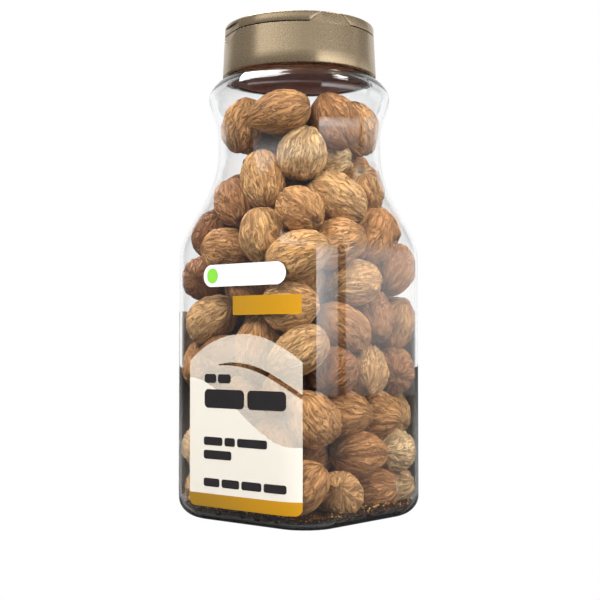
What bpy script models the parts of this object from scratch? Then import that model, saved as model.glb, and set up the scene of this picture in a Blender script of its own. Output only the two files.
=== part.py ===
import bpy
import bmesh
import numpy as np
from math import sin, cos, pi, sqrt, radians, floor

for old in list(bpy.data.objects):
    bpy.data.objects.remove(old, do_unlink=True)

mm = 0.001

# Driving dimensions, millimetres.
total_height = 208.8
body_half_width = 41.3
body_corner_radius = 17.5
foot_fillet = 8.5
shoulder_start = 110.0
waist_height = 158.0
waist_radius = 34.75
bulge_height = 178.3
bulge_radius = 38.8
neck_start = 187.0
neck_outer_radius = 30.0
neck_inner_radius = 28.8
neck_top = 201.5
wall_thickness = 0.9
floor_thickness = 1.6
push_up_rise = 0.8

cap_bottom = 187.3
cap_lower_radius = 33.0
cap_upper_radius = 32.2
cap_inner_radius = 30.8
deck_underside = 201.9
parting_height = 204.2
bar_half_width_top = 3.9
bar_half_width_low = 9.4
bar_direction = radians(65.0)  # turned from the front face towards +X
lid_gap = 0.3
notch_flat = 31.15
notch_half_width = 8.9
notch_top = 207.2
notch_bottom = 200.3

nutmeg_count = 121
nutmeg_seed = 14
nutmeg_half_length = 12.6
nutmeg_half_width = 9.9
heap_top = 176.8
packing_floor = 2.8

label_gap = 0.3
label_thickness = 0.25
front_label_left = -24.2
front_label_right = 35.0
front_label_low = 6.7
front_label_side_top = 66.0
front_label_peak = 77.0


def smooth(t):
    t = np.clip(t, 0.0, 1.0)
    return t * t * (3.0 - 2.0 * t)


def section(z, inset):
    # Half width and corner radius of the bottle at height z, measured inwards by inset.
    z = np.asarray(z, float)
    low = np.clip((waist_height - z) / (waist_height - shoulder_start), 0.0, 1.0)
    square = smooth(low ** 1.35)
    half = waist_radius + (body_half_width - waist_radius) * square
    corner = waist_radius + (body_corner_radius - waist_radius) * square
    rise = np.clip((z - waist_height) / (bulge_height - waist_height), 0.0, 1.0)
    flare = waist_radius + (bulge_radius - waist_radius) * smooth(rise ** 1.45)
    over = np.clip((z - bulge_height) / (neck_start - inset - bulge_height), 0.0, 1.0)
    neck = neck_outer_radius
    if inset > 0.0:
        neck = neck_inner_radius + inset
    dome = neck + (bulge_radius - neck) * (1.0 - over ** 1.5) ** (1 / 1.5)
    turned = np.where(z > bulge_height, dome, flare)
    half = np.where(z > waist_height, turned, half)
    corner = np.where(z > waist_height, turned, corner)
    ground = floor_thickness if inset > 0.0 else 0.0
    fillet = foot_fillet - inset
    sunk = np.clip((ground + fillet - z) / fillet, 0.0, 1.0)
    cut = fillet * (1.0 - np.sqrt(1.0 - sunk ** 2))
    return half - inset - cut, np.maximum(corner - inset - 0.6 * cut, 2.0)


def outline(half, corner, arc_steps):
    # A square with round corners, anticlockwise from above.
    points = []
    side = half - corner
    for quarter in range(4):
        turn = quarter * pi / 2
        for step in range(arc_steps + 1):
            angle = step / arc_steps * pi / 2
            x = side + corner * cos(angle)
            y = side + corner * sin(angle)
            points.append((x * cos(turn) - y * sin(turn), x * sin(turn) + y * cos(turn)))
    return points


def material(name, colour, roughness, metallic=0.0, alpha=1.0):
    made = bpy.data.materials.new(name)
    made.use_nodes = True
    shader = made.node_tree.nodes["Principled BSDF"]
    shader.inputs["Base Color"].default_value = (*colour, 1.0)
    shader.inputs["Roughness"].default_value = roughness
    shader.inputs["Metallic"].default_value = metallic
    shader.inputs["Alpha"].default_value = alpha
    return made


def solid(name, verts, faces, paint, scale=mm):
    mesh = bpy.data.meshes.new(name)
    mesh.from_pydata([(x * scale, y * scale, z * scale) for x, y, z in verts], [], faces)
    body = bmesh.new()
    body.from_mesh(mesh)
    bmesh.ops.recalc_face_normals(body, faces=body.faces)
    body.to_mesh(mesh)
    body.free()
    piece = bpy.data.objects.new(name, mesh)
    bpy.context.scene.collection.objects.link(piece)
    if paint is not None:
        mesh.materials.append(paint)
    return piece


def loft(name, rings, paint):
    # Rings of equal length joined in order, with a flat face over each end.
    count = len(rings[0])
    verts = [point for ring in rings for point in ring]
    faces = [tuple(range(count)), tuple(range(len(verts) - count, len(verts)))]
    for row in range(len(rings) - 1):
        for k in range(count):
            a = row * count + k
            b = row * count + (k + 1) % count
            faces.append((a, b, b + count, a + count))
    return solid(name, verts, faces, paint)


def turned_solid(name, profile, paint, steps=56):
    # The profile runs from a point on the axis to another point on the axis.
    verts = [(0.0, 0.0, profile[0][1]), (0.0, 0.0, profile[-1][1])]
    faces = []
    for radius, z in profile[1:-1]:
        for k in range(steps):
            angle = 2 * pi * k / steps
            verts.append((radius * cos(angle), radius * sin(angle), z))
    rows = len(profile) - 2
    for k in range(steps):
        after = (k + 1) % steps
        faces.append((0, 2 + after, 2 + k))
        faces.append((1, 2 + (rows - 1) * steps + k, 2 + (rows - 1) * steps + after))
        for row in range(rows - 1):
            a = 2 + row * steps + k
            b = 2 + row * steps + after
            faces.append((a, b, b + steps, a + steps))
    return solid(name, verts, faces, paint)


def prism(name, outline_points, low, high, place):
    # A closed outline pushed along its third direction; place turns (a, b, c) into x, y, z.
    count = len(outline_points)
    verts = [place(a, b, low) for a, b in outline_points]
    verts += [place(a, b, high) for a, b in outline_points]
    faces = [tuple(range(count)), tuple(range(count, 2 * count))]
    for k in range(count):
        after = (k + 1) % count
        faces.append((k, after, after + count, k + count))
    return solid(name, verts, faces, None)


def combine(target, tool, operation):
    step = target.modifiers.new(operation.lower(), "BOOLEAN")
    step.operation = operation
    step.solver = "EXACT"
    step.object = tool
    graph = bpy.context.evaluated_depsgraph_get()
    result = bpy.data.meshes.new_from_object(target.evaluated_get(graph))
    target.modifiers.clear()
    target.data = result
    bpy.data.objects.remove(tool, do_unlink=True)


clear_plastic = material("clear_plastic", (0.93, 0.95, 0.96), 0.05, alpha=0.3)
bronze_plastic = material("bronze_plastic", (0.36, 0.24, 0.15), 0.35, metallic=0.6)
nutmeg_brown = material("nutmeg_brown", (0.35, 0.19, 0.09), 0.75)
label_cream = material("label_cream", (0.93, 0.88, 0.78), 0.5)
label_gold = material("label_gold", (0.62, 0.38, 0.1), 0.4)
label_white = material("label_white", (0.92, 0.92, 0.9), 0.5)
label_grey = material("label_grey", (0.6, 0.57, 0.52), 0.5)


# Bottle: one shell, up the outside from the base and down the inside.
def bottle_rings(inset, arc_steps):
    rings = []
    ground = floor_thickness if inset > 0.0 else 0.0
    flat_half = body_half_width - foot_fillet - 5.0
    rings.append((flat_half - 5.0, 5.0, ground + push_up_rise))
    rings.append((flat_half, 7.4, ground))
    fillet = foot_fillet - inset
    heights = [ground + fillet * (1.0 - cos(k / 5 * pi / 2)) for k in range(6)]
    heights += [shoulder_start]
    heights += [shoulder_start + (waist_height - shoulder_start) * k / 9 for k in range(1, 10)]
    heights += [waist_height + (bulge_height - waist_height) * k / 6 for k in range(1, 7)]
    rise = neck_start - inset - bulge_height
    heights += [bulge_height + rise * sin(k / 5 * pi / 2) for k in range(1, 6)]
    heights += [neck_top]
    for z in heights:
        half, corner = section(z, inset)
        rings.append((float(half), float(corner), z))
    return [[(x, y, z) for x, y in outline(half, min(corner, half), arc_steps)]
            for half, corner, z in rings]


shell = bottle_rings(0.0, 7) + list(reversed(bottle_rings(wall_thickness, 7)))
loft("bottle", shell, clear_plastic)


# Cap: skirt and deck, with the fixed bar across it and two shut flaps beside the bar.
def across_bar(a, b, c):
    return (-a * cos(bar_direction) + c * sin(bar_direction),
            -a * sin(bar_direction) - c * cos(bar_direction), b)


cap = turned_solid("cap", [
    (0.0, deck_underside), (30.35, deck_underside), (30.35, 199.6), (cap_inner_radius, 199.1),
    (cap_inner_radius, cap_bottom), (cap_lower_radius - 0.25, cap_bottom),
    (cap_lower_radius, cap_bottom + 0.3), (cap_upper_radius, parting_height - 0.3),
    (cap_upper_radius - 0.25, parting_height), (0.0, parting_height)], bronze_plastic)


def top_disc(name, underside, paint):
    return turned_solid(name, [
        (0.0, underside), (cap_upper_radius - 0.2, underside), (cap_upper_radius, underside + 0.25),
        (cap_upper_radius - 0.2, total_height - 0.9), (cap_upper_radius - 0.4, total_height - 0.3),
        (cap_upper_radius - 1.0, total_height), (0.0, total_height)], paint)


def bar_half_width(z):
    share = (total_height - z) / (total_height - parting_height)
    return bar_half_width_top + (bar_half_width_low - bar_half_width_top) * share


bar = top_disc("bar", parting_height - 0.5, bronze_plastic)
ends = [(bar_half_width(z), z) for z in (parting_height - 1.0, total_height + 1.0)]
bar_outline = ends + [(-a, z) for a, z in reversed(ends)]
combine(bar, prism("bar_cut", bar_outline, -40.0, 40.0, across_bar), "INTERSECT")
combine(cap, bar, "UNION")

lower_edge = [(notch_half_width * cos(pi + pi * k / 12),
               parting_height + (parting_height - notch_bottom) * sin(pi + pi * k / 12))
              for k in range(13)]
notch_outline = lower_edge + [(notch_half_width, notch_top), (-notch_half_width, notch_top)]


def cut_notch(target, side):
    def place(a, b, c):
        x, y, z = across_bar(c * side, b, a)
        return (x, y, z)
    combine(target, prism("notch_cut", notch_outline, notch_flat, 40.0, place), "DIFFERENCE")


for name, side in (("flap_left", 1.0), ("flap_right", -1.0)):
    flap = top_disc(name, parting_height + lid_gap, bronze_plastic)
    slit = lid_gap * 1.5
    near = [(side * (bar_half_width(z) + slit), z) for z in (parting_height - 1.0, total_height + 1.0)]
    far = [(side * 40.0, total_height + 1.0), (side * 40.0, parting_height - 1.0)]
    combine(flap, prism("flap_cut", near + far, -40.0, 40.0, across_bar), "INTERSECT")
    cut_notch(flap, side)
    cut_notch(cap, side)


# Nutmegs: ovoids of three balls each, pushed apart inside the bottle until they sit close.
def inner_distance(x, y, z):
    half, corner = section(z, wall_thickness)
    corner = np.minimum(corner, half)
    dx = np.abs(x) - (half - corner)
    dy = np.abs(y) - (half - corner)
    outside = np.hypot(np.maximum(dx, 0.0), np.maximum(dy, 0.0))
    return outside + np.minimum(np.maximum(dx, dy), 0.0) - corner


def wall_push(points):
    x, y, z = points.T
    e = 0.05
    depth = inner_distance(x, y, z)
    slope = np.stack([inner_distance(x + e, y, z) - inner_distance(x - e, y, z),
                      inner_distance(x, y + e, z) - inner_distance(x, y - e, z),
                      inner_distance(x, y, z + e) - inner_distance(x, y, z - e)], 1) / (2 * e)
    size = np.maximum(np.linalg.norm(slope, axis=1), 1e-6)
    return depth / size, slope / size[:, None]


def pack_nutmegs(count, seed, steps=700, gap=0.15):
    rng = np.random.default_rng(seed)
    long_half = nutmeg_half_length * rng.uniform(0.90, 1.10, count)
    wide_half = nutmeg_half_width * rng.uniform(0.92, 1.08, count)
    wide_half = np.minimum(wide_half, long_half * 0.93)
    centre = []
    while len(centre) < count:
        spot = rng.uniform([-30, -30, 12], [30, 30, 184])
        if wall_push(spot[None])[0][0] < -11:
            centre.append(spot)
    centre = np.array(centre)
    axis = rng.normal(size=(count, 3))
    axis /= np.linalg.norm(axis, axis=1)[:, None]
    end_radius = wide_half * 0.83
    reach = long_half - end_radius
    owner = np.repeat(np.arange(count), 3)
    first, second = np.where(np.triu(owner[:, None] != owner[None, :], 1))
    along = np.tile([-1.0, 0.0, 1.0], count)
    for step in range(steps):
        grow = min(1.0, 0.35 + 0.65 * step / (steps * 0.3))
        ball = centre[owner] + (along * reach[owner] * grow)[:, None] * axis[owner]
        radius = np.where(along == 0.0, wide_half[owner], end_radius[owner]) * grow
        apart = ball[first] - ball[second]
        square = (apart * apart).sum(1)
        touch = radius[first] + radius[second]
        near = square < touch * touch
        i, j = first[near], second[near]
        distance = np.maximum(np.sqrt(square[near]), 1e-6)
        shift = apart[near] * ((touch[near] - distance) * 0.5 / distance)[:, None]
        move = np.zeros_like(ball)
        hits = np.zeros(len(ball))
        np.add.at(move, i, shift)
        np.add.at(move, j, -shift)
        np.add.at(hits, i, 1)
        np.add.at(hits, j, 1)
        depth, outward = wall_push(ball)
        pressed = depth + radius + gap
        over = pressed > 0
        move[over] -= outward[over] * pressed[over][:, None]
        hits[over] += 1
        over = ball[:, 2] + radius > heap_top
        move[over, 2] -= ball[over, 2] + radius[over] - heap_top
        hits[over] += 1
        over = ball[:, 2] - radius < packing_floor
        move[over, 2] += packing_floor - ball[over, 2] + radius[over]
        hits[over] += 1
        total = np.zeros((count, 3))
        turn = np.zeros((count, 3))
        number = np.zeros(count)
        np.add.at(total, owner, move)
        np.add.at(turn, owner, np.cross(ball - centre[owner], move))
        np.add.at(number, owner, hits)
        number = np.maximum(number, 1)[:, None]
        centre = centre + total / number * 1.5
        inertia = (reach ** 2 + 0.4 * wide_half ** 2)[:, None] * grow ** 2
        axis = axis + np.cross(turn / number / inertia * 1.2, axis)
        axis /= np.linalg.norm(axis, axis=1)[:, None]
        if step < steps * 0.85:
            centre[:, 2] -= 0.012
    return centre, axis, long_half, wide_half


centre, axis, long_half, wide_half = pack_nutmegs(nutmeg_count, nutmeg_seed)
# The packed heap stands a quarter turn round in the bottle.
centre, axis = (np.column_stack([-v[:, 1], v[:, 0], v[:, 2]]) for v in (centre, axis))


def far_hit(start, direction):
    # Distance along a ray to the far side of the outermost nutmeg on it.
    best = 0.0
    offset = start - centre
    along = (offset * axis).sum(1)
    lean = axis @ direction
    narrow = 1.0 / wide_half
    stretch = 1.0 / long_half - narrow
    p = offset * narrow[:, None] + axis * (along * stretch)[:, None]
    q = direction[None, :] * narrow[:, None] + axis * (lean * stretch)[:, None]
    a = (q * q).sum(1)
    b = (p * q).sum(1)
    c = (p * p).sum(1) - 1.0
    root = b * b - a * c
    hit = root > 0
    if hit.any():
        best = float(((-b[hit] + np.sqrt(root[hit])) / a[hit]).max())
    return best


def room(start, direction):
    # Distance along a ray to just short of the inner wall.
    near, far = 0.0, 60.0
    for _ in range(24):
        middle = (near + far) / 2
        spot = start + direction * middle
        if inner_distance(*spot) < -0.5 and spot[2] < bulge_height:
            near = middle
        else:
            far = middle
    return near


heap_steps = 46
low_ring, high_ring = packing_floor + 0.4, 166.0
sweep = [(low_ring, 0.0)]
sweep += [(low_ring + (high_ring - low_ring) * k / 36, 0.0) for k in range(1, 37)]
sweep += [(high_ring, radians(tilt)) for tilt in (12, 24, 37, 51, 66, 80)]
rings = []
for height, tilt in sweep:
    ring = []
    for k in range(heap_steps):
        turn = 2 * pi * k / heap_steps
        direction = np.array([cos(turn) * cos(tilt), sin(turn) * cos(tilt), sin(tilt)])
        start = np.array([0.0, 0.0, height])
        limit = room(start, direction)
        core = 0.8 * limit if tilt == 0.0 else 7.0
        ring.append(tuple(start + direction * min(limit, max(core, far_hit(start, direction)))))
    rings.append(ring)
loft("nutmeg_heap", rings, nutmeg_brown)


# Labels: thin curved sheets just off the wall.
flat_run = 2 * (body_half_width - body_corner_radius)
quarter_run = flat_run + body_corner_radius * pi / 2


def wall_point(u, z, lift):
    # u runs round the bottle from the middle of the front face, towards +X.
    place = u + flat_run / 2
    quarter = floor(place / quarter_run)
    place -= quarter * quarter_run
    turn = quarter * pi / 2
    sink = body_half_width - float(section(z, 0.0)[0])
    if place < flat_run:
        x, y, nx, ny = place - flat_run / 2, -body_half_width, 0.0, -1.0
    else:
        angle = (place - flat_run) / body_corner_radius
        nx, ny = sin(angle), -cos(angle)
        x = flat_run / 2 + body_corner_radius * nx
        y = -flat_run / 2 + body_corner_radius * ny
    x += nx * (lift - sink)
    y += ny * (lift - sink)
    return (x * cos(turn) - y * sin(turn), x * sin(turn) + y * cos(turn), z)


def sheet(name, columns, rows, low, high, paint):
    # A closed skin: low(u) to high(u) tall, with its own thickness.
    verts = []
    faces = []
    for lift in (label_gap, label_gap + label_thickness):
        for u in columns:
            for k in range(rows + 1):
                verts.append(wall_point(u, low(u) + (high(u) - low(u)) * k / rows, lift))
    tall = rows + 1
    half = len(columns) * tall
    for c in range(len(columns) - 1):
        for k in range(rows):
            a = c * tall + k
            faces.append((a, a + tall, a + tall + 1, a + 1))
            faces.append((a + half, a + half + 1, a + half + tall + 1, a + half + tall))
        for k in (0, rows):
            a = c * tall + k
            faces.append((a, a + tall, a + tall + half, a + half))
    for c in (0, len(columns) - 1):
        for k in range(rows):
            a = c * tall + k
            faces.append((a, a + 1, a + 1 + half, a + half))
    return solid(name, verts, faces, paint)


def span(left, right, steps):
    return [left + (right - left) * k / steps for k in range(steps + 1)]


def round_corner(u, left, right, radius):
    inside = min(u - left, right - u)
    if inside >= radius:
        return 0.0
    return radius - sqrt(max(radius ** 2 - (radius - inside) ** 2, 0.0))


middle = (front_label_left + front_label_right) / 2
half_span = front_label_right - middle
sagitta = front_label_peak - front_label_side_top
dome_radius = (half_span ** 2 + sagitta ** 2) / (2 * sagitta)


def front_low(u):
    return front_label_low + round_corner(u, front_label_left, front_label_right, 3.0)


def front_high(u):
    return front_label_peak - dome_radius + sqrt(dome_radius ** 2 - (u - middle) ** 2)


columns = span(front_label_left, front_label_left + 3.0, 4)[:-1]
columns += span(front_label_left + 3.0, front_label_right - 3.0, 20)
columns += span(front_label_right - 3.0, front_label_right, 4)[1:]
sheet("front_label", columns, 3, front_low, front_high, label_cream)
sheet("gold_bar", span(0.2, 34.6, 10), 1, lambda u: 84.7, lambda u: 92.3, label_gold)
sheet("name_bar", span(-16.4, 28.2, 6), 1,
      lambda u: 93.2,
      lambda u: 108.6, label_white)
sheet("back_label", span(quarter_run * 1.5, quarter_run * 3.5, 36), 2,
      lambda u: 9.0, lambda u: 87.0, label_grey)
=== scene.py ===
import bpy
import bmesh
import numpy as np
from math import sin, cos, pi, sqrt, radians, floor
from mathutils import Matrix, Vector


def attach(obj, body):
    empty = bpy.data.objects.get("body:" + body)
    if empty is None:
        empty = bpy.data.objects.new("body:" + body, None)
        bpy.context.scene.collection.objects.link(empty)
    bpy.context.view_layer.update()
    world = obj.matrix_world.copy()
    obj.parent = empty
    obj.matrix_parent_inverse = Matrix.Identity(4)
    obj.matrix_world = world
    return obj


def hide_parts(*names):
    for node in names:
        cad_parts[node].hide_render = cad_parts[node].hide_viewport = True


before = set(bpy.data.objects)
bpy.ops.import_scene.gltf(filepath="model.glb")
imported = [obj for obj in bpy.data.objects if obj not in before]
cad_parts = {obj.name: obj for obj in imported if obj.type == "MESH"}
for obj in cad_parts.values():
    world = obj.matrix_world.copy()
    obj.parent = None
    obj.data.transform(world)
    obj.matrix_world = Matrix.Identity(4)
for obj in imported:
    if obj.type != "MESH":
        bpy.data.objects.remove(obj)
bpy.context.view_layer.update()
print("frame loaded")

mm = 0.001

# Bottle sizes in millimetres, from the foot up.
bodyHalfWidth = 41.3
bodyCornerRadius = 17.5
footFillet = 8.5
shoulderStart = 110.0
waistHeight = 158.0
waistRadius = 34.75
bulgeHeight = 178.3
bulgeRadius = 38.8
neckStart = 187.0
neckOuterRadius = 30.0
neckInnerRadius = 28.8
neckTop = 201.5
wallThickness = 0.9
floorThickness = 1.6
pushUpRise = 0.8
packingFloor = 2.8
heapTop = 176.8


def smooth(t):
    t = np.clip(t, 0.0, 1.0)
    return t * t * (3.0 - 2.0 * t)


def section(z, inset):
    # Half width and corner radius of the bottle at height z, measured inwards by inset.
    z = np.asarray(z, float)
    low = np.clip((waistHeight - z) / (waistHeight - shoulderStart), 0.0, 1.0)
    square = smooth(low ** 1.35)
    half = waistRadius + (bodyHalfWidth - waistRadius) * square
    corner = waistRadius + (bodyCornerRadius - waistRadius) * square
    rise = np.clip((z - waistHeight) / (bulgeHeight - waistHeight), 0.0, 1.0)
    flare = waistRadius + (bulgeRadius - waistRadius) * smooth(rise ** 1.45)
    over = np.clip((z - bulgeHeight) / (neckStart - inset - bulgeHeight), 0.0, 1.0)
    neck = neckInnerRadius + inset if inset > 0.0 else neckOuterRadius
    dome = neck + (bulgeRadius - neck) * (1.0 - over ** 1.5) ** (1 / 1.5)
    turned = np.where(z > bulgeHeight, dome, flare)
    half = np.where(z > waistHeight, turned, half)
    corner = np.where(z > waistHeight, turned, corner)
    ground = floorThickness if inset > 0.0 else 0.0
    fillet = footFillet - inset
    sunk = np.clip((ground + fillet - z) / fillet, 0.0, 1.0)
    cut = fillet * (1.0 - np.sqrt(1.0 - sunk ** 2))
    return half - inset - cut, np.maximum(corner - inset - 0.6 * cut, 2.0)


def randomNoise(points, seed):
    # Smooth noise between about -1 and 1 at each point, the same for the same seed.
    base = np.floor(points).astype(np.int64)
    part = points - base
    ease = part ** 3 * (part * (part * 6 - 15) + 10)
    total = np.zeros(len(points))
    for dx in (0, 1):
        for dy in (0, 1):
            for dz in (0, 1):
                x = base[:, 0] + dx
                y = base[:, 1] + dy
                z = base[:, 2] + dz
                mixed = (x * 73856093) ^ (y * 19349663) ^ (z * 83492791) ^ (seed * 2654435761)
                mixed = (mixed ^ (mixed >> 13)) * 1274126177 & 0x7FFFFFFF
                angle = (mixed & 1023) / 1024.0 * 2 * pi
                lift = ((mixed >> 10) & 1023) / 512.0 - 1.0
                flat = np.sqrt(np.maximum(1.0 - lift ** 2, 0.0))
                slope = (flat * np.cos(angle) * (part[:, 0] - dx)
                         + flat * np.sin(angle) * (part[:, 1] - dy) + lift * (part[:, 2] - dz))
                weight = ((ease[:, 0] if dx else 1 - ease[:, 0])
                          * (ease[:, 1] if dy else 1 - ease[:, 1])
                          * (ease[:, 2] if dz else 1 - ease[:, 2]))
                total += weight * slope
    return total * 1.6


# Node building: each helper adds one shader node and returns its output.
class Paint:
    def __init__(self, name):
        self.made = bpy.data.materials.new(name)
        self.made.use_nodes = True
        self.nodes = self.made.node_tree.nodes
        self.links = self.made.node_tree.links
        self.shader = self.nodes["Principled BSDF"]
        self.out = self.nodes["Material Output"]

    def add(self, kind, **facts):
        node = self.nodes.new(kind)
        for key, value in facts.items():
            setattr(node, key, value)
        return node

    def feed(self, source, target):
        if hasattr(source, "links"):
            self.links.new(source, target)
        else:
            target.default_value = source

    def noise(self, scale, detail=3.0, where=None, roughness=0.5, distortion=0.0):
        node = self.add("ShaderNodeTexNoise")
        node.inputs["Scale"].default_value = scale
        node.inputs["Detail"].default_value = detail
        node.inputs["Roughness"].default_value = roughness
        node.inputs["Distortion"].default_value = distortion
        self.feed(where if where is not None else self.place(), node.inputs["Vector"])
        return node.outputs["Fac"]

    def place(self, stretch=(1.0, 1.0, 1.0)):
        coords = self.add("ShaderNodeTexCoord").outputs["Object"]
        node = self.add("ShaderNodeMapping")
        node.inputs["Scale"].default_value = stretch
        self.links.new(coords, node.inputs["Vector"])
        return node.outputs["Vector"]

    def spread(self, value, low, high, outLow=0.0, outHigh=1.0):
        node = self.add("ShaderNodeMapRange", interpolation_type="SMOOTHSTEP")
        self.feed(value, node.inputs["Value"])
        node.inputs["From Min"].default_value = low
        node.inputs["From Max"].default_value = high
        node.inputs["To Min"].default_value = outLow
        node.inputs["To Max"].default_value = outHigh
        return node.outputs["Result"]

    def math(self, operation, a, b=0.0):
        node = self.add("ShaderNodeMath", operation=operation)
        self.feed(a, node.inputs[0])
        self.feed(b, node.inputs[1])
        return node.outputs["Value"]

    def mix(self, share, a, b, blend="MIX"):
        node = self.add("ShaderNodeMix", data_type="RGBA", blend_type=blend)
        self.feed(share, node.inputs["Factor"])
        self.feed(a if hasattr(a, "links") else (*a, 1.0), node.inputs["A"])
        self.feed(b if hasattr(b, "links") else (*b, 1.0), node.inputs["B"])
        return node.outputs["Result"]

    def stored(self, name):
        return self.add("ShaderNodeAttribute", attribute_name=name).outputs["Fac"]

    def bump(self, height, strength, distance, normal=None):
        node = self.add("ShaderNodeBump")
        self.feed(height, node.inputs["Height"])
        node.inputs["Strength"].default_value = strength
        node.inputs["Distance"].default_value = distance
        if normal is not None:
            self.links.new(normal, node.inputs["Normal"])
        return node.outputs["Normal"]

    def set(self, **sockets):
        for key, value in sockets.items():
            self.feed(value, self.shader.inputs[key.replace("_", " ")])
        return self


def linear(red, green, blue):
    # A screen colour from 0 to 255 as the light values a shader takes.
    return tuple(c / 255 / 12.92 if c <= 10 else ((c / 255 + 0.055) / 1.055) ** 2.4
                 for c in (red, green, blue))


def build(name, verts, faces, paint, smoothAngle=None, scale=mm):
    mesh = bpy.data.meshes.new(name)
    mesh.from_pydata((np.asarray(verts) * scale).tolist(), [], faces)
    body = bmesh.new()
    body.from_mesh(mesh)
    bmesh.ops.recalc_face_normals(body, faces=body.faces)
    body.to_mesh(mesh)
    body.free()
    piece = bpy.data.objects.new(name, mesh)
    bpy.context.scene.collection.objects.link(piece)
    if paint is not None:
        mesh.materials.append(paint.made)
    if smoothAngle is not None:
        mesh.shade_smooth()
        if smoothAngle < 180:
            mesh.set_sharp_from_angle(angle=radians(smoothAngle))
    return piece


def outline(half, corner, arcSteps, sideSteps):
    # A square with round corners, anticlockwise from above, with points along the flats too.
    points = []
    side = half - corner
    for quarter in range(4):
        turn = quarter * pi / 2
        local = [(side + corner * cos(k / arcSteps * pi / 2), side + corner * sin(k / arcSteps * pi / 2))
                 for k in range(arcSteps + 1)]
        local += [(side - 2 * side * k / sideSteps, side + corner) for k in range(1, sideSteps)]
        for x, y in local:
            points.append((x * cos(turn) - y * sin(turn), x * sin(turn) + y * cos(turn)))
    return points


def loft(name, rings, paint, smoothAngle):
    count = len(rings[0])
    verts = [point for ring in rings for point in ring]
    faces = [tuple(range(count)), tuple(range(len(verts) - count, len(verts)))]
    for row in range(len(rings) - 1):
        for k in range(count):
            a = row * count + k
            b = row * count + (k + 1) % count
            faces.append((a, b, b + count, a + count))
    return build(name, verts, faces, paint, smoothAngle)


# The bottle: clear plastic with a real wall and a raised thread on its neck.
clearLook = {
    "tint": (0.985, 0.99, 0.992),
    "roughness": 0.02,
    "ior": 1.5,
}


def clearPlastic():
    paint = Paint("clear_plastic")
    ripple = paint.noise(38.0, 2.0, paint.place((1.0, 1.0, 0.45)))
    paint.set(Base_Color=paint.mix(paint.noise(20.0), clearLook["tint"], (0.97, 0.98, 0.985)),
              Roughness=paint.spread(paint.noise(60.0), 0.3, 0.7, 0.0, clearLook["roughness"]),
              IOR=clearLook["ior"], Transmission_Weight=1.0,
              Normal=paint.bump(ripple, 0.05, 0.0006))
    through = paint.add("ShaderNodeBsdfTransparent")
    through.inputs["Color"].default_value = (0.97, 0.975, 0.98, 1.0)
    path = paint.add("ShaderNodeLightPath")  # light reaches what is inside
    blend = paint.add("ShaderNodeMixShader")
    paint.links.new(path.outputs["Is Shadow Ray"], blend.inputs["Fac"])
    paint.links.new(paint.shader.outputs["BSDF"], blend.inputs[1])
    paint.links.new(through.outputs["BSDF"], blend.inputs[2])
    paint.links.new(blend.outputs["Shader"], paint.out.inputs["Surface"])
    return paint


def bottleRings(inset):
    ground = floorThickness if inset > 0.0 else 0.0
    flatHalf = bodyHalfWidth - footFillet - 5.0
    rings = []
    for k in range(1, 9):
        share = k / 8
        reach = (flatHalf - 9.0) * share
        rings.append((reach, 3.0 + reach * 0.2 if reach > 4 else reach * 0.9, ground + pushUpRise))
    for k in range(1, 9):
        share = k / 8
        rings.append((flatHalf - 9.0 + 9.0 * share, 8.0,
                      ground + pushUpRise * (1.0 - float(smooth(share)))))
    fillet = footFillet - inset
    heights = [ground + fillet * (1.0 - cos(k / 14 * pi / 2)) for k in range(15)]
    heights += [30.0, 60.0, 90.0, shoulderStart]
    heights += [shoulderStart + (waistHeight - shoulderStart) * k / 36 for k in range(1, 37)]
    heights += [waistHeight + (bulgeHeight - waistHeight) * k / 20 for k in range(1, 21)]
    rise = neckStart - inset - bulgeHeight
    heights += [bulgeHeight + rise * sin(k / 16 * pi / 2) for k in range(1, 17)]
    heights += [neckStart + (neckTop - 0.4 - neckStart) * k / 28 for k in range(1, 29)]
    for z in heights:
        half, corner = section(z, inset)
        rings.append((float(half), float(corner), z))
    return [[(x, y, z) for x, y in outline(half, min(corner, half * 0.9999), 20, 8)]
            for half, corner, z in rings]


threadRise = 0.5
threadPitch = 4.2


def addThread(rings):
    # One raised helix round the neck, fading in and out at its ends.
    raised = []
    for ring in rings:
        new = []
        for x, y, z in ring:
            radius = sqrt(x * x + y * y)
            if z > neckStart + 0.2 and radius > 29.5:
                turn = np.arctan2(y, x) / (2 * pi)
                for lap in range(-1, 4):
                    centre = neckStart + 3.4 + (turn + lap) * threadPitch
                    fade = min(max((centre - neckStart - 2.6) / 1.0, 0.0), 1.0)
                    fade *= min(max((neckTop - 2.2 - centre) / 1.0, 0.0), 1.0)
                    near = max(1.0 - abs(z - centre) / 1.1, 0.0)
                    radius += threadRise * fade * float(smooth(near))
                angle = turn * 2 * pi
                x, y = radius * cos(angle), radius * sin(angle)
            new.append((x, y, z))
        raised.append(new)
    return raised


outside = addThread(bottleRings(0.0))
lip = [[(x * r / neckOuterRadius, y * r / neckOuterRadius, neckTop - drop) for x, y, z in outside[-1]]
       for r, drop in ((29.9, 0.12), (29.6, 0.0), (29.2, 0.0), (28.9, 0.12))]
shell = outside + lip + list(reversed(bottleRings(wallThickness)))
bottle = loft("bottle_clear", shell, clearPlastic(), 50)
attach(bottle, "root")
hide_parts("bottle")
print("bottle made", len(bottle.data.polygons))


# The cap: a turned skirt and deck, a fixed bar across the top and two shut flaps.
capSizes = {
    "bottom": 187.3,
    "top": 208.8,
    "lowerRadius": 33.0,
    "upperRadius": 32.2,
    "innerRadius": 30.8,
    "deckUnderside": 201.9,
    "parting": 204.2,
    "barTop": 3.9,
    "barLow": 9.4,
    "barTurn": radians(65.0),
    "notchFlat": 31.15,
    "notchHalf": 8.9,
    "notchTop": 207.2,
    "notchBottom": 200.3,
}
capSteps = 180


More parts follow.
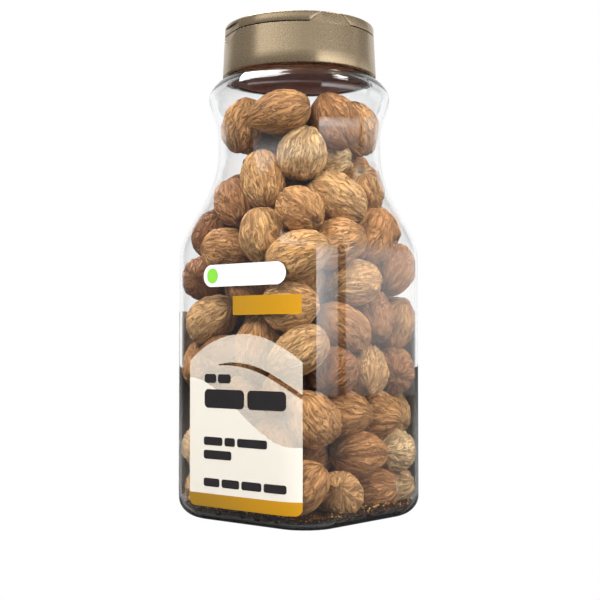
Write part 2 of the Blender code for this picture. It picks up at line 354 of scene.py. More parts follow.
def bronzePlastic(name, body, sheen):
    paint = Paint(name)
    wave = paint.noise(1.0, 2.0, paint.place((12.0, 12.0, 150.0)))
    flake = paint.noise(2600.0, 1.0)
    colour = paint.mix(paint.spread(flake, 0.35, 0.7), body, sheen)
    paint.set(Base_Color=colour, Metallic=0.8,
              Roughness=paint.spread(flake, 0.3, 0.7, 0.24, 0.3),
              Normal=paint.bump(flake, 0.03, 0.0001, paint.bump(wave, 0.22, 0.0006)))
    return paint


bronze = bronzePlastic("bronze_plastic", linear(153, 135, 109), linear(161, 143, 117))


def darkInside():
    paint = Paint("cap_inside")
    fleck = paint.noise(900.0, 2.0)
    cloud = paint.spread(paint.noise(60.0), 0.3, 0.7)
    colour = paint.mix(cloud, linear(214, 142, 124), linear(236, 172, 148))
    colour = paint.mix(paint.spread(fleck, 0.62, 0.72), colour, linear(240, 190, 140))
    paint.set(Base_Color=colour, Roughness=paint.spread(fleck, 0.3, 0.7, 0.3, 0.5))
    return paint


inside = darkInside()
# A darker copy of the bronze, used as painted shade in the cap's narrow gaps.
paintedGapShade = bronzePlastic("bronze_painted_shade", linear(44, 36, 27), linear(52, 43, 33))


def turned(name, profile, paint):
    verts = [(0.0, 0.0, profile[0][1]), (0.0, 0.0, profile[-1][1])]
    faces = []
    for radius, z in profile[1:-1]:
        for k in range(capSteps):
            angle = 2 * pi * k / capSteps
            verts.append((radius * cos(angle), radius * sin(angle), z))
    rows = len(profile) - 2
    for k in range(capSteps):
        after = (k + 1) % capSteps
        faces.append((0, 2 + after, 2 + k))
        faces.append((1, 2 + (rows - 1) * capSteps + k, 2 + (rows - 1) * capSteps + after))
        for row in range(rows - 1):
            a = 2 + row * capSteps + k
            b = 2 + row * capSteps + after
            faces.append((a, b, b + capSteps, a + capSteps))
    return build(name, verts, faces, paint)


def prism(outlinePoints, low, high, place):
    count = len(outlinePoints)
    verts = [place(a, b, low) for a, b in outlinePoints]
    verts += [place(a, b, high) for a, b in outlinePoints]
    faces = [tuple(range(count)), tuple(range(count, 2 * count))]
    for k in range(count):
        after = (k + 1) % count
        faces.append((k, after, after + count, k + count))
    return build("cutter", verts, faces, None)


def freeze(target):
    graph = bpy.context.evaluated_depsgraph_get()
    result = bpy.data.meshes.new_from_object(target.evaluated_get(graph))
    target.modifiers.clear()
    target.data = result


def combine(target, tool, operation):
    step = target.modifiers.new(operation.lower(), "BOOLEAN")
    step.operation = operation
    step.solver = "EXACT"
    step.object = tool
    freeze(target)
    bpy.data.objects.remove(tool, do_unlink=True)


def acrossBar(a, b, c):
    turn = capSizes["barTurn"]
    return (-a * cos(turn) + c * sin(turn), -a * sin(turn) - c * cos(turn), b)


def topDisc(name, underside):
    radius, top = capSizes["upperRadius"], capSizes["top"]
    return turned(name, [
        (0.0, underside), (radius - 0.1, underside), (radius - 0.15, top - 0.9),
        (radius - 0.22, top - 0.55), (radius - 0.38, top - 0.26), (radius - 0.62, top - 0.09),
        (radius - 1.0, top - 0.01), (radius - 1.6, top), (0.0, top)], bronze)


def barHalf(z):
    share = (capSizes["top"] - z) / (capSizes["top"] - capSizes["parting"])
    return capSizes["barTop"] + (capSizes["barLow"] - capSizes["barTop"]) * share


def cutNotch(target, side):
    parting, half = capSizes["parting"], capSizes["notchHalf"]
    drop = parting - capSizes["notchBottom"]
    angles = [pi + pi * k / 24 for k in range(25)]
    lower = [(half * cos(angle), parting + drop * sin(angle)) for angle in angles]
    shape = lower + [(half, capSizes["notchTop"]), (-half, capSizes["notchTop"])]
    tool = prism(shape, capSizes["notchFlat"], 40.0, lambda a, b, c: acrossBar(c * side, b, a))
    combine(target, tool, "DIFFERENCE")


def finishCap(piece, width):
    soft = piece.modifiers.new("edge", "BEVEL")
    soft.width = width * mm
    soft.segments = 2
    soft.limit_method = "ANGLE"
    soft.angle_limit = radians(38)
    soft.harden_normals = False
    freeze(piece)
    piece.data.shade_smooth()
    piece.data.set_sharp_from_angle(angle=radians(32))
    piece.data.materials.append(inside.made)
    piece.data.materials.append(paintedGapShade.made)
    # Faces inside the skirt take the dark finish; faces inside the narrow gaps take the darker bronze copy
    # as painted shade.
    parting, turn = capSizes["parting"], capSizes["barTurn"]
    sideways = Vector((cos(turn), sin(turn), 0.0))
    for face in piece.data.polygons:
        spot = face.center / mm
        slanted = abs(face.normal.dot(sideways)) > 0.45
        if spot.z < capSizes["deckUnderside"] + 0.1 and spot.xy.length < 31.2:
            face.material_index = 1
        # Painted shade on the flat faces at the parting line and on the slanted gap walls beside the bar.
        elif parting - 0.1 < spot.z < parting + 0.5 and abs(face.normal.z) > 0.8:
            face.material_index = 2
        elif spot.z > parting + 0.1 and slanted and abs(spot.dot(sideways)) < 12.0:
            face.material_index = 2
    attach(piece, "root")


bottomZ, partZ, topZ = capSizes["bottom"], capSizes["parting"], capSizes["top"]
cap = turned("cap_body", [
    (0.0, capSizes["deckUnderside"]), (30.35, capSizes["deckUnderside"]), (30.35, 199.6),
    (capSizes["innerRadius"], 199.1), (capSizes["innerRadius"], bottomZ + 0.3),
    (capSizes["innerRadius"] + 0.3, bottomZ), (capSizes["lowerRadius"] - 0.5, bottomZ),
    (capSizes["lowerRadius"] - 0.15, bottomZ + 0.12), (capSizes["lowerRadius"], bottomZ + 0.5),
    (32.72, bottomZ + 6.0), (32.5, bottomZ + 11.0), (capSizes["upperRadius"], partZ - 0.15),
    (capSizes["upperRadius"] - 0.15, partZ), (0.0, partZ)], bronze)
bar = topDisc("bar", partZ - 0.5)
ends = [(barHalf(z), z) for z in (partZ - 1.0, topZ + 1.0)]
combine(bar, prism(ends + [(-a, z) for a, z in reversed(ends)], -40.0, 40.0, acrossBar), "INTERSECT")
combine(cap, bar, "UNION")
for name, side in (("flap_left", 1.0), ("flap_right", -1.0)):
    flap = topDisc("shut_" + name, partZ + 0.42)
    near = [(side * (barHalf(z) + 0.42), z) for z in (partZ - 1.0, topZ + 1.0)]
    far = [(side * 40.0, topZ + 1.0), (side * 40.0, partZ - 1.0)]
    combine(flap, prism(near + far, -40.0, 40.0, acrossBar), "INTERSECT")
    cutNotch(flap, side)
    cutNotch(cap, side)
    finishCap(flap, 0.22)
    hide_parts(name)
finishCap(cap, 0.12)
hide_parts("cap")
print("cap made")


# Nutmegs: ovoids of three balls each, pushed apart inside the bottle until they sit close.
def innerDistance(x, y, z):
    half, corner = section(z, wallThickness)
    corner = np.minimum(corner, half)
    dx = np.abs(x) - (half - corner)
    dy = np.abs(y) - (half - corner)
    outsideRun = np.hypot(np.maximum(dx, 0.0), np.maximum(dy, 0.0))
    return outsideRun + np.minimum(np.maximum(dx, dy), 0.0) - corner


def wallPush(points):
    x, y, z = points.T
    e = 0.05
    depth = innerDistance(x, y, z)
    slope = np.stack([innerDistance(x + e, y, z) - innerDistance(x - e, y, z),
                      innerDistance(x, y + e, z) - innerDistance(x, y - e, z),
                      innerDistance(x, y, z + e) - innerDistance(x, y, z - e)], 1) / (2 * e)
    size = np.maximum(np.linalg.norm(slope, axis=1), 1e-6)
    return depth / size, slope / size[:, None]


def packNutmegs(count, seed, steps=700, gap=0.15):
    rng = np.random.default_rng(seed)
    longHalf = 12.6 * rng.uniform(0.90, 1.10, count)
    wideHalf = 9.9 * rng.uniform(0.92, 1.08, count)
    wideHalf = np.minimum(wideHalf, longHalf * 0.93)
    centre = []
    while len(centre) < count:
        spot = rng.uniform([-30, -30, 12], [30, 30, 184])
        if wallPush(spot[None])[0][0] < -11:
            centre.append(spot)
    centre = np.array(centre)
    axis = rng.normal(size=(count, 3))
    axis /= np.linalg.norm(axis, axis=1)[:, None]
    endRadius = wideHalf * 0.83
    reach = longHalf - endRadius
    owner = np.repeat(np.arange(count), 3)
    first, second = np.where(np.triu(owner[:, None] != owner[None, :], 1))
    along = np.tile([-1.0, 0.0, 1.0], count)
    for step in range(steps):
        grow = min(1.0, 0.35 + 0.65 * step / (steps * 0.3))
        ball = centre[owner] + (along * reach[owner] * grow)[:, None] * axis[owner]
        radius = np.where(along == 0.0, wideHalf[owner], endRadius[owner]) * grow
        apart = ball[first] - ball[second]
        square = (apart * apart).sum(1)
        touch = radius[first] + radius[second]
        near = square < touch * touch
        i, j = first[near], second[near]
        distance = np.maximum(np.sqrt(square[near]), 1e-6)
        shift = apart[near] * ((touch[near] - distance) * 0.5 / distance)[:, None]
        move = np.zeros_like(ball)
        hits = np.zeros(len(ball))
        np.add.at(move, i, shift)
        np.add.at(move, j, -shift)
        np.add.at(hits, i, 1)
        np.add.at(hits, j, 1)
        depth, outward = wallPush(ball)
        pressed = depth + radius + gap
        over = pressed > 0
        move[over] -= outward[over] * pressed[over][:, None]
        hits[over] += 1
        over = ball[:, 2] + radius > heapTop
        move[over, 2] -= ball[over, 2] + radius[over] - heapTop
        hits[over] += 1
        over = ball[:, 2] - radius < packingFloor
        move[over, 2] += packingFloor - ball[over, 2] + radius[over]
        hits[over] += 1
        total = np.zeros((count, 3))
        turn = np.zeros((count, 3))
        number = np.zeros(count)
        np.add.at(total, owner, move)
        np.add.at(turn, owner, np.cross(ball - centre[owner], move))
        np.add.at(number, owner, hits)
        number = np.maximum(number, 1)[:, None]
        centre = centre + total / number * 1.5
        inertia = (reach ** 2 + 0.4 * wideHalf ** 2)[:, None] * grow ** 2
        axis = axis + np.cross(turn / number / inertia * 1.2, axis)
        axis /= np.linalg.norm(axis, axis=1)[:, None]
        if step < steps * 0.85:
            centre[:, 2] -= 0.012
    return centre, axis, longHalf, wideHalf


nutmegLook = {
    "rows": 46,
    "sides": 84,
    "pale": linear(244, 208, 156),
    "golden": linear(232, 178, 116),
    "brown": linear(206, 146, 90),
    "dark": linear(150, 98, 62),
    # Groove brown: partly the furrows' own darker colour, partly painted shade.
    "grooveTintAndShade": linear(98, 56, 30),
    "scar": linear(236, 216, 178),
}


def nutmegSkin():
    paint = Paint("nutmeg_skin")
    grain = paint.add("ShaderNodeAttribute", attribute_name="grain").outputs["Vector"]
    tone = paint.stored("tone")
    fold = paint.stored("fold")
    scar = paint.stored("scar")
    wrinkle = paint.noise(1.9, 2.0, grain, 0.5, 0.3)
    crease = paint.math("ABSOLUTE", paint.math("SUBTRACT", wrinkle, 0.5))
    crease = paint.spread(crease, 0.0, 0.05, 1.0, 0.0)
    fine = paint.noise(5.0, 3.0, grain, 0.6)
    patch = paint.noise(0.3, 3.0, grain)
    colour = paint.mix(paint.spread(tone, 0.0, 0.45), nutmegLook["dark"], nutmegLook["brown"])
    colour = paint.mix(paint.spread(tone, 0.35, 0.7), colour, nutmegLook["golden"])
    colour = paint.mix(paint.spread(tone, 0.7, 1.0), colour, nutmegLook["pale"])
    stain = paint.math("MULTIPLY", paint.spread(patch, 0.5, 0.68), 0.55)
    colour = paint.mix(stain, colour, nutmegLook["dark"])
    # Paler colour on the raised fine ridges: partly their own paler tone, partly painted highlight.
    ridgePaleAndHighlight = paint.math("MULTIPLY", paint.spread(fine, 0.5, 0.68), 0.36)
    colour = paint.mix(ridgePaleAndHighlight, colour, nutmegLook["pale"])
    # Creases, folds and the seam darken towards the groove brown: partly their own colour, partly painted
    # shade.
    creaseShade = paint.math("MULTIPLY", crease, 0.55)
    depth = paint.math("MAXIMUM", creaseShade, paint.math("MULTIPLY", fold, 0.5))
    colour = paint.mix(depth, colour, nutmegLook["grooveTintAndShade"])
    colour = paint.mix(scar, colour, nutmegLook["scar"])
    height = paint.math("SUBTRACT", paint.math("MULTIPLY", fine, 0.5), crease)
    paint.set(Base_Color=colour, Roughness=paint.spread(fine, 0.3, 0.7, 0.5, 0.72),
              Specular_IOR_Level=0.35, Normal=paint.bump(height, 1.0, 0.0008))
    return paint


def nutmegShape(seed, longHalf, wideHalf, rows, sides):
    # One nutmeg about its own long axis, with its stored surface values.
    rng = np.random.default_rng(seed)
    theta = np.linspace(0, pi, rows + 1)[1:-1]
    phi = np.linspace(0, 2 * pi, sides, endpoint=False)
    t, p = np.meshgrid(theta, phi, indexing="ij")
    way = np.stack([np.sin(t) * np.cos(p), np.sin(t) * np.sin(p), np.cos(t)], -1).reshape(-1, 3)
    way = np.vstack([way, [[0, 0, 1], [0, 0, -1]]])
    shift = rng.uniform(0, 90, 3)
    warp = np.stack([randomNoise(way * 2.1 + shift + k * 17, seed) for k in range(3)], 1)
    bent = way + 0.15 * warp
    # The grain runs from end to end: quick changes round the nutmeg, slow ones along it.
    around = bent[:, :2] / np.maximum(np.hypot(bent[:, 0], bent[:, 1]), 0.05)[:, None]
    grain = np.column_stack([around * 5.2, bent[:, 2] * 1.5])
    ridge = randomNoise(grain * 0.85 + shift, seed + 1)
    small = randomNoise(grain * 1.9 + shift, seed + 2)
    fold = smooth(1.0 - np.abs(ridge) / 0.34)
    fine = smooth(1.0 - np.abs(small) / 0.4)
    lump = randomNoise(way * 1.5 + shift, seed + 3)
    dent = randomNoise(way * 3.1 + shift, seed + 4)
    fromPole = np.hypot(way[:, 0], way[:, 1])
    top = way[:, 2] > 0
    rim = np.where(top, np.exp(-((fromPole - 0.3) / 0.1) ** 2), 0.0)
    pit = np.where(top, np.exp(-(fromPole / 0.19) ** 2), 0.0)
    seam = np.exp(-((np.abs(np.arctan2(way[:, 1], way[:, 0])) * fromPole) / 0.1) ** 2)
    seam *= smooth((fromPole - 0.25) / 0.2)
    height = (0.3 * np.abs(ridge) - 0.36 * fold - 0.2 * fine + 0.45 * rim - 0.8 * pit - 0.4 * seam)
    egg = 1.0 + rng.uniform(-0.12, 0.12) * way[:, 2]
    swell = (1.0 + 0.045 * lump + 0.025 * dent)[:, None]
    verts = way * np.stack([wideHalf * egg, wideHalf * egg * rng.uniform(0.95, 1.0),
                            np.full(len(way), longHalf)], 1) * swell
    verts += way * height[:, None]
    hasScar = 0.9 if rng.random() < 0.15 else 0.12
    stored = {
        # fold darkens the grooves and the seam in the shader: partly their own darker brown, partly painted
        # shade.
        "fold": np.clip(fold * 0.75 + fine * 0.35 + 0.5 * seam, 0, 1),
        "scar": np.clip(pit * 1.4, 0, 1) * hasScar,
        "grain": grain + shift,
    }
    count = len(theta)
    faces = []
    for row in range(count - 1):
        for k in range(sides):
            a = row * sides + k
            b = row * sides + (k + 1) % sides
            faces.append((a, a + sides, b + sides, b))
    north, south = count * sides, count * sides + 1
    for k in range(sides):
        after = (k + 1) % sides
        faces.append((north, k, after))
        faces.append((south, (count - 1) * sides + after, (count - 1) * sides + k))
    return verts, faces, stored


def nutmegPiece(name, members, paint):
    allVerts, allFaces = [], []
    layers = {"fold": [], "scar": [], "grain": [], "tone": []}
    start = 0
    for index in members:
        near = wallPush(centre[index][None])[0][0] > -17.0 or centre[index][2] > 155.0
        rows, sides = (nutmegLook["rows"], nutmegLook["sides"]) if near else (22, 36)
        verts, faces, stored = nutmegShape(900 + index, longHalf[index], wideHalf[index], rows, sides)
        rng = np.random.default_rng(5000 + index)
        flip = 1.0 if rng.random() < 0.5 else -1.0
        up = Vector(axis[index] * flip)
        spin = up.to_track_quat("Z", "Y").to_matrix()
        turn = rng.uniform(0, 2 * pi)
        roll = np.array([[cos(turn), -sin(turn), 0], [sin(turn), cos(turn), 0], [0, 0, 1]])
        verts = verts @ (np.array(spin) @ roll).T + centre[index]
        depth, outward = wallPush(verts)
        pressed = depth > -wallGap
        verts[pressed] -= outward[pressed] * (depth[pressed] + wallGap)[:, None]
        allVerts.append(verts)
        allFaces += [tuple(v + start for v in face) for face in faces]
        start += len(verts)
        for key in ("fold", "scar", "grain"):
            layers[key].append(stored[key])
        layers["tone"].append(np.full(len(verts), tones[index]))
    piece = build(name, np.vstack(allVerts), allFaces, paint, 180)
    for key in ("fold", "scar", "tone"):
        layer = piece.data.attributes.new(key, "FLOAT", "POINT")
        layer.data.foreach_set("value", np.concatenate(layers[key]).astype(np.float32))
    layer = piece.data.attributes.new("grain", "FLOAT_VECTOR", "POINT")
    layer.data.foreach_set("vector", np.vstack(layers["grain"]).astype(np.float32).ravel())
    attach(piece, "root")
    return piece


nutmegCount = 121
nutmegSeed = 14
nutmegGroups = 6
wallGap = 0.08
centre, axis, longHalf, wideHalf = packNutmegs(nutmegCount, nutmegSeed)
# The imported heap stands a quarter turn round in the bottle.
centre, axis = (np.column_stack([-v[:, 1], v[:, 0], v[:, 2]]) for v in (centre, axis))
tones = np.clip(np.random.default_rng(77).normal(0.52, 0.3, nutmegCount), 0.0, 1.0)
print("nutmegs packed")
skin = nutmegSkin()
for group in range(nutmegGroups):
    members = range(group, nutmegCount, nutmegGroups)
    piece = nutmegPiece("nutmegs_" + str(group + 1), members, skin)
    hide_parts("nutmeg_heap")
    print(piece.name, len(piece.data.polygons))


# Dust and broken bits of nutmeg lie under the heap, against the foot of the wall; the dust is near-black,
# partly its own colour and partly painted shade under the heap.
dustAndShadeTop = 5.2
chipCount = 420


def dustAndShadeLayer():
    paint = Paint("nutmeg_dust_and_shade")
    speck = paint.noise(1500.0, 2.0)
    cloud = paint.noise(260.0, 3.0)
    # The dust colour runs from near-black to dark brown: partly nutmeg dust, partly painted shade at the
    # foot of the bottle.
    colour = paint.mix(paint.spread(cloud, 0.35, 0.7), linear(20, 11, 7), linear(62, 34, 16))
    colour = paint.mix(paint.spread(speck, 0.62, 0.69), colour, linear(206, 150, 72))
    paint.set(Base_Color=colour, Roughness=paint.spread(cloud, 0.3, 0.7, 0.7, 0.9),
              Specular_IOR_Level=0.2, Normal=paint.bump(speck, 0.6, 0.0006))
    rings = []
    for z in (1.75, 2.2, 3.2, 4.2, dustAndShadeTop):
        half, corner = section(z, wallThickness)
        ring = outline(float(half) - 0.12, float(corner) - 0.12, 12, 30)
        rings.append([(x, y, z) for x, y in ring])
    half, corner = section(dustAndShadeTop, wallThickness)
    rim = outline(float(half) - 0.12, float(corner), 12, 30)
    for inner in (0.9, 0.7, 0.45, 0.2):
        rings.append([(x * inner, y * inner, dustAndShadeTop + 0.2) for x, y in rim])
    lifted = []
    for level, ring in enumerate(rings):
        points = np.array(ring)
        if level >= 3:
            points[:, 2] += 0.9 * randomNoise(points * 0.22, 41) + 0.6 * randomNoise(points * 0.6, 42)
        lifted.append([tuple(point) for point in points])
    piece = loft("dust_and_shade_layer", lifted, paint, 40)
    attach(piece, "root")


def brokenBits():
    paint = Paint("nutmeg_bits")
    mottle = paint.noise(900.0, 2.0)
    paint.set(Base_Color=paint.mix(mottle, linear(150, 98, 48), linear(228, 178, 104)),
              Roughness=paint.spread(mottle, 0.3, 0.7, 0.6, 0.8))
    rng = np.random.default_rng(8)
    corners = np.array([[1, 0, 0], [-1, 0, 0], [0, 1, 0], [0, -1, 0], [0, 0, 1], [0, 0, -1]], float)
    sides = [(0, 2, 4), (2, 1, 4), (1, 3, 4), (3, 0, 4), (2, 0, 5), (1, 2, 5), (3, 1, 5), (0, 3, 5)]
    verts, faces = [], []
    for _ in range(chipCount):
        z = 3.6 + 5.0 * rng.random() ** 1.7
        half = float(section(z, wallThickness)[0])
        u = rng.uniform(-1, 1)
        run = half - 0.9 - 2.0 * rng.random() ** 2
        x, y = (u * (half - 5), -run) if rng.random() < 0.5 else (run, u * (half - 5))
        if rng.random() < 0.3:
            x, y = -x, -y
        if innerDistance(x, y, z) > -1.0:
            continue
        size = rng.uniform(0.25, 0.85) * np.array([1.0, rng.uniform(0.5, 1), rng.uniform(0.4, 0.9)])
        spin = np.linalg.qr(rng.normal(size=(3, 3)))[0]
        start = len(verts)
        verts += list((corners * size * rng.uniform(0.7, 1.2, (6, 1))) @ spin + np.array([x, y, z]))
        faces += [tuple(v + start for v in side) for side in sides]
    piece = build("broken_bits", np.array(verts), faces, paint, 60)
    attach(piece, "root")


dustAndShadeLayer()
brokenBits()


# Labels: curved skins on the wall, set out along u round the bottle and z up it.
flatRun = 2 * (bodyHalfWidth - bodyCornerRadius)
quarterRun = flatRun + bodyCornerRadius * pi / 2
labelEdges = {
    "left": -24.2,
    "right": 35.0,
    "low": 6.7,
    "sideTop": 66.0,
    "peak": 77.0,
    "bandTop": 12.1,
}


def wallPoint(u, z, lift):
    place = u + flatRun / 2
    quarter = floor(place / quarterRun)
    place -= quarter * quarterRun
    turn = quarter * pi / 2
    sink = bodyHalfWidth - float(section(z, 0.0)[0])
    if place < flatRun:
        x, y, nx, ny = place - flatRun / 2, -bodyHalfWidth, 0.0, -1.0
    else:
        angle = (place - flatRun) / bodyCornerRadius
        nx, ny = sin(angle), -cos(angle)
        x = flatRun / 2 + bodyCornerRadius * nx
        y = -flatRun / 2 + bodyCornerRadius * ny
    x += nx * (lift - sink)
    y += ny * (lift - sink)
    return (x * cos(turn) - y * sin(turn), x * sin(turn) + y * cos(turn), z)


def sheet(name, columns, rows, low, high, lift, thickness, paint):
    verts, faces = [], []
    for rise in (lift, lift + thickness):
        for u in columns:
            for k in range(rows + 1):
                verts.append(wallPoint(u, low(u) + (high(u) - low(u)) * k / rows, rise))
    tall = rows + 1
    half = len(columns) * tall
    for c in range(len(columns) - 1):
        for k in range(rows):
            a = c * tall + k
            faces.append((a, a + tall, a + tall + 1, a + 1))
            faces.append((a + half, a + half + 1, a + half + tall + 1, a + half + tall))
        for k in (0, rows):
            a = c * tall + k
            faces.append((a, a + tall, a + tall + half, a + half))
    for c in (0, len(columns) - 1):
        for k in range(rows):
            a = c * tall + k
            faces.append((a, a + 1, a + 1 + half, a + half))
    piece = build(name, np.array(verts), faces, paint, 30)
    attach(piece, "root")
    return piece


def span(left, right, steps):
    return [left + (right - left) * k / steps for k in range(steps + 1)]


def cornerDrop(u, left, right, radius):
    inside = min(u - left, right - u)
    if inside >= radius:
        return 0.0
    return radius - sqrt(max(radius ** 2 - (radius - inside) ** 2, 0.0))


def roundEnded(left, right, radius):
    # Columns that crowd together where the corners are round.
    ends = [radius * (1 - cos(k / 7 * pi / 2)) for k in range(7)]
    return ([left + e for e in ends] + span(left + radius, right - radius, 16)
            + [right - e for e in reversed(ends)])


def barOn(name, left, right, low, high, radius, lift, paint, thickness=0.05):
    return sheet(name, roundEnded(left, right, radius), 1,
                 lambda u: low + cornerDrop(u, left, right, radius),
                 lambda u: high - cornerDrop(u, left, right, radius), lift, thickness, paint)


def printed(name, first, second, roughness=0.4, cover=1.0):
    paint = Paint(name)
    paper = paint.noise(220.0, 3.0)
    paint.set(Base_Color=paint.mix(paper, first, second),
              Roughness=paint.spread(paper, 0.3, 0.7, roughness, roughness + 0.08))
    if cover < 1.0:
        # A thin film: part of the view goes through it, and all of the light.
        clear = paint.add("ShaderNodeBsdfTransparent")
        path = paint.add("ShaderNodeLightPath")
        share = paint.spread(paint.noise(60.0), 0.3, 0.7, cover - 0.03, cover + 0.03)
        share = paint.math("MULTIPLY", share, paint.math("SUBTRACT", 1.0, path.outputs["Is Shadow Ray"]))
        blend = paint.add("ShaderNodeMixShader")
        paint.links.new(share, blend.inputs["Fac"])
        paint.links.new(clear.outputs["BSDF"], blend.inputs[1])
        paint.links.new(paint.shader.outputs["BSDF"], blend.inputs[2])
        paint.links.new(blend.outputs["Shader"], paint.out.inputs["Surface"])
    return paint


def goldPrint():
    paint = Paint("label_gold")
    run = paint.add("ShaderNodeSeparateXYZ")
    paint.links.new(paint.place(), run.inputs["Vector"])
    along = paint.spread(run.outputs["X"], -0.026, 0.034)
    paint.set(Base_Color=paint.mix(along, linear(148, 112, 36), linear(182, 131, 24)),
              Roughness=paint.spread(paint.noise(200.0), 0.3, 0.7, 0.38, 0.46), Specular_IOR_Level=0.2)
    return paint


edge = labelEdges
middle = (edge["left"] + edge["right"]) / 2
halfSpan = edge["right"] - middle
sagitta = edge["peak"] - edge["sideTop"]
domeRadius = (halfSpan ** 2 + sagitta ** 2) / (2 * sagitta)


def domeTop(u):
    return edge["peak"] - domeRadius + sqrt(domeRadius ** 2 - (u - middle) ** 2)


def swoosh(u):
    return 33.0 + 26.2 * (1.0 - float(smooth((u + 24.2) / 55.2)))


def crescentTop(u):
    return 65.6 - 0.0105 * (u - 1.0) ** 2


def crescentLow(u):
    return 64.4 - 0.009 * (u + 3.0) ** 2


def panelLow(u):
    return edge["low"] + cornerDrop(u, edge["left"], edge["right"], 3.0)


cream = printed("label_cream", linear(214, 208, 196), linear(218, 212, 201))
gold = goldPrint()
ink = printed("label_ink", linear(24, 22, 24), linear(38, 34, 36))
film = printed("label_film", linear(236, 227, 212), linear(240, 232, 218), 0.35, 0.27)
white = printed("label_white", linear(228, 228, 228), linear(232, 232, 232))
leafGreen = printed("label_green", linear(112, 190, 52), linear(134, 206, 70))
greyBack = printed("label_grey", linear(206, 198, 184), linear(214, 206, 192), 0.5)
left, right = edge["left"], edge["right"]
tip = -7.7
panel = sheet("label_panel", roundEnded(left, right, 3.0), 8, panelLow, swoosh, 0.03, 0.1, cream)
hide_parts("front_label")
band = sheet("label_band", roundEnded(left, right, 3.0), 2,
             lambda u: min(panelLow(u), edge["bandTop"] - 0.1), lambda u: edge["bandTop"], 0.15, 0.05, gold)
for name, a, b, low, high in (("label_film_left", left, tip, swoosh, domeTop),
                              ("label_film_top", tip, right, crescentTop, domeTop),
                              ("label_film_low", tip, right, swoosh, crescentLow)):
    veil = sheet(name, span(a, b, 30), 6, low, high, 0.03, 0.1, film)
words = [(-15.6, -9.0, 57.2, 60.8, 1.2), (-8.0, -0.8, 57.2, 60.8, 1.2),
         (-15.6, 6.6, 47.0, 54.6, 2.0), (8.4, 28.4, 47.0, 54.6, 2.0),
         (-16.0, -5.4, 31.8, 35.2, 1.0), (-4.2, 1.6, 31.8, 35.2, 1.0), (2.8, 19.0, 31.8, 35.2, 1.0),
         (-16.0, -0.4, 26.2, 29.8, 1.0),
         (-16.0, -7.0, 15.0, 18.4, 1.0), (-5.8, 4.0, 15.0, 18.4, 1.0), (5.2, 16.0, 15.0, 18.4, 1.0),
         (17.2, 28.6, 15.0, 18.4, 1.0)]
for number, (a, b, low, high, radius) in enumerate(words):
    bar = barOn("label_words_" + str(number + 1), a, b, low, high, radius, 0.14, ink)
goldBar = barOn("label_gold_bar", 0.2, 34.6, 84.7, 92.4, 0.6, 0.03, gold)
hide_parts("gold_bar")
nameBar = barOn("label_name_bar", -16.4, 28.2, 96.4, 105.4, 4.4, 0.03, white)
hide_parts("name_bar")
dot = barOn("label_dot", -14.4, -8.2, 97.8, 104.0, 3.0, 0.09, leafGreen)
back = sheet("label_back", span(quarterRun * 1.5, quarterRun * 3.5, 150), 6,
             lambda u: 9.0, lambda u: 87.0, 0.03, 0.12, greyBack)
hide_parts("back_label")
print("labels made")


# Stage: white floor and surround, curved walls of light, soft lamps at the sides and above.
cameraTurn = radians(40.7)


def studioWhite(name, seen, other):
    paint = Paint(name)
    path = paint.add("ShaderNodeLightPath")
    glow = paint.add("ShaderNodeEmission")
    glow.inputs["Color"].default_value = (seen, seen, seen, 1.0)
    paint.set(Base_Color=paint.mix(paint.noise(3.0), (other,) * 3, (other * 1.02,) * 3), Roughness=0.8)
    blend = paint.add("ShaderNodeMixShader")
    paint.links.new(path.outputs["Is Camera Ray"], blend.inputs["Fac"])
    paint.links.new(paint.shader.outputs["BSDF"], blend.inputs[1])
    paint.links.new(glow.outputs["Emission"], blend.inputs[2])
    paint.links.new(blend.outputs["Shader"], paint.out.inputs["Surface"])
    return paint


floorPlane = build("floor", [(-3, -3, 0), (3, -3, 0), (3, 3, 0), (-3, 3, 0)], [(0, 1, 2, 3)],
                   studioWhite("floor_white", 1.0, 0.07), None, 1.0)

# The surround is white behind the bottle and dim elsewhere, so the clear rims stay light.
world = bpy.data.worlds.new("surround")
world.use_nodes = True
bpy.context.scene.world = world
nodes, links = world.node_tree.nodes, world.node_tree.links
background = nodes["Background"]
ahead = Vector((-sin(cameraTurn), cos(cameraTurn), 0.0))
way = nodes.new("ShaderNodeTexCoord")
facing = nodes.new("ShaderNodeVectorMath")
facing.operation = "DOT_PRODUCT"
facing.inputs[1].default_value = ahead
links.new(way.outputs["Generated"], facing.inputs[0])
level = nodes.new("ShaderNodeMapRange")
level.interpolation_type = "SMOOTHSTEP"
level.inputs["From Min"].default_value = 0.45
level.inputs["From Max"].default_value = 0.75
level.inputs["To Min"].default_value = 0.2
level.inputs["To Max"].default_value = 1.0
links.new(facing.outputs["Value"], level.inputs["Value"])
background.inputs["Color"].default_value = (1.0, 1.0, 1.0, 1.0)
path = nodes.new("ShaderNodeLightPath")
brighter = nodes.new("ShaderNodeMath")
brighter.operation = "MAXIMUM"
links.new(level.outputs["Result"], brighter.inputs[0])
links.new(path.outputs["Is Camera Ray"], brighter.inputs[1])
links.new(brighter.outputs["Value"], background.inputs["Strength"])


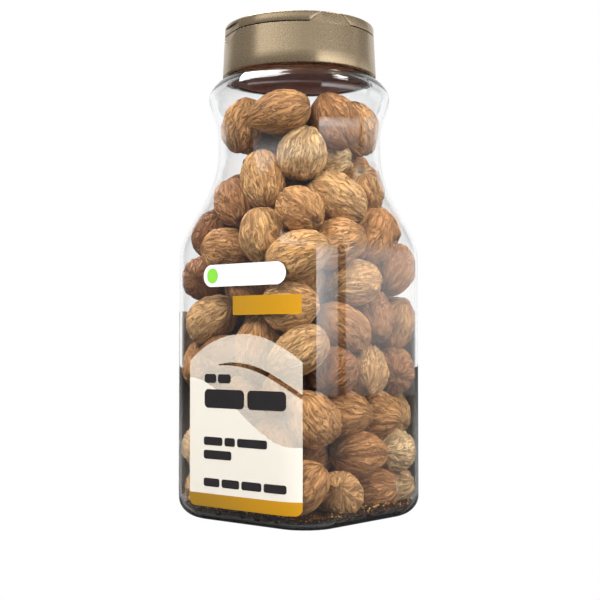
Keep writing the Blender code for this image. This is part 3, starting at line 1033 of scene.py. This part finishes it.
def curvedPanel(name, fromTurn, toTurn, reach, nearGlow, farGlow, heights):
    # A tall curved wall of light that fades along its length, with its own strength at each height.
    paint = Paint(name)
    glow = paint.add("ShaderNodeEmission")
    paint.feed(paint.stored("glow"), glow.inputs["Strength"])
    paint.feed(paint.mix(paint.noise(2.0), (1.0, 1.0, 1.0), (0.97, 0.97, 0.97)), glow.inputs["Color"])
    paint.links.new(glow.outputs["Emission"], paint.out.inputs["Surface"])
    verts, faces, levels = [], [], []
    for k in range(33):
        a = cameraTurn + radians(fromTurn + (toTurn - fromTurn) * k / 32)
        for z, share in heights:
            verts.append((reach * sin(a), -reach * cos(a), z))
            levels.append(share * (nearGlow + (farGlow - nearGlow) * float(smooth(k / 32))))
    tall = len(heights)
    for k in range(32):
        for row in range(tall - 1):
            a = k * tall + row
            faces.append((a, a + tall, a + tall + 1, a + 1))
    piece = build(name, verts, faces, paint, None, 1.0)
    layer = piece.data.attributes.new("glow", "FLOAT", "POINT")
    layer.data.foreach_set("value", levels)
    piece.visible_camera = False


def softPanel(name, turn, lift, distance, width, height, brightness, mirrored=True):
    lamp = bpy.data.lights.new(name, "AREA")
    lamp.shape = "RECTANGLE"
    lamp.size = width
    lamp.size_y = height
    lamp.energy = brightness * pi * width * height
    holder = bpy.data.objects.new(name, lamp)
    bpy.context.scene.collection.objects.link(holder)
    holder.visible_glossy = mirrored
    holder.visible_transmission = mirrored
    a, e = cameraTurn + radians(turn), radians(lift)
    away = Vector((sin(a) * cos(e), -cos(a) * cos(e), sin(e)))
    holder.location = Vector((0, 0, 0.1)) + away * distance
    holder.rotation_mode = "QUATERNION"
    holder.rotation_quaternion = (-away).to_track_quat("-Z", "Y")


# The low part shows in the bottle's sides, the high part in the cap.
lowGlow = [(0.0, 0.3), (0.1, 0.85), (0.22, 1.0), (0.3, 0.6), (0.42, 0.26), (0.62, 0.14), (0.85, 0.0)]
highGlow = [(0.25, 0.0), (0.38, 0.2), (0.5, 0.9), (0.62, 1.0), (0.76, 0.85), (0.9, 0.25), (1.05, 0.0)]
curvedPanel("panel_right", 27, 92, 1.2, 4.6, 2.0, lowGlow)
curvedPanel("panel_side", 98, 126, 1.2, 1.5, 1.3, lowGlow)
curvedPanel("panel_high_left", -68, 0, 1.3, 2.4, 1.2, highGlow)
curvedPanel("panel_high_right", 0, 100, 1.3, 0.95, 0.85, highGlow)
softPanel("key_left", -36, 42, 0.9, 0.55, 0.5, 15.0, False)
softPanel("fill_right", 62, 32, 0.9, 0.7, 0.7, 7.6, False)
softPanel("softbox_above", -132, 67, 0.9, 0.5, 0.5, 13.0)
softPanel("softbox_right", 88, 61, 0.9, 0.16, 0.16, 16.0)

lens = bpy.data.cameras.new("camera")
lens.lens = 71.77
lens.sensor_width = 36.0
lens.shift_x = 0.001
lens.clip_start = 0.01
camera = bpy.data.objects.new("camera", lens)
bpy.context.scene.collection.objects.link(camera)
camera.location = (0.3348, -0.3892, 0.0739)
look = Vector((-sin(cameraTurn) * cos(0.035), cos(cameraTurn) * cos(0.035), sin(0.035)))
camera.rotation_mode = "QUATERNION"
camera.rotation_quaternion = look.to_track_quat("-Z", "Y")
bpy.context.scene.camera = camera
bpy.context.scene.view_settings.view_transform = "Standard"

print("scene made")
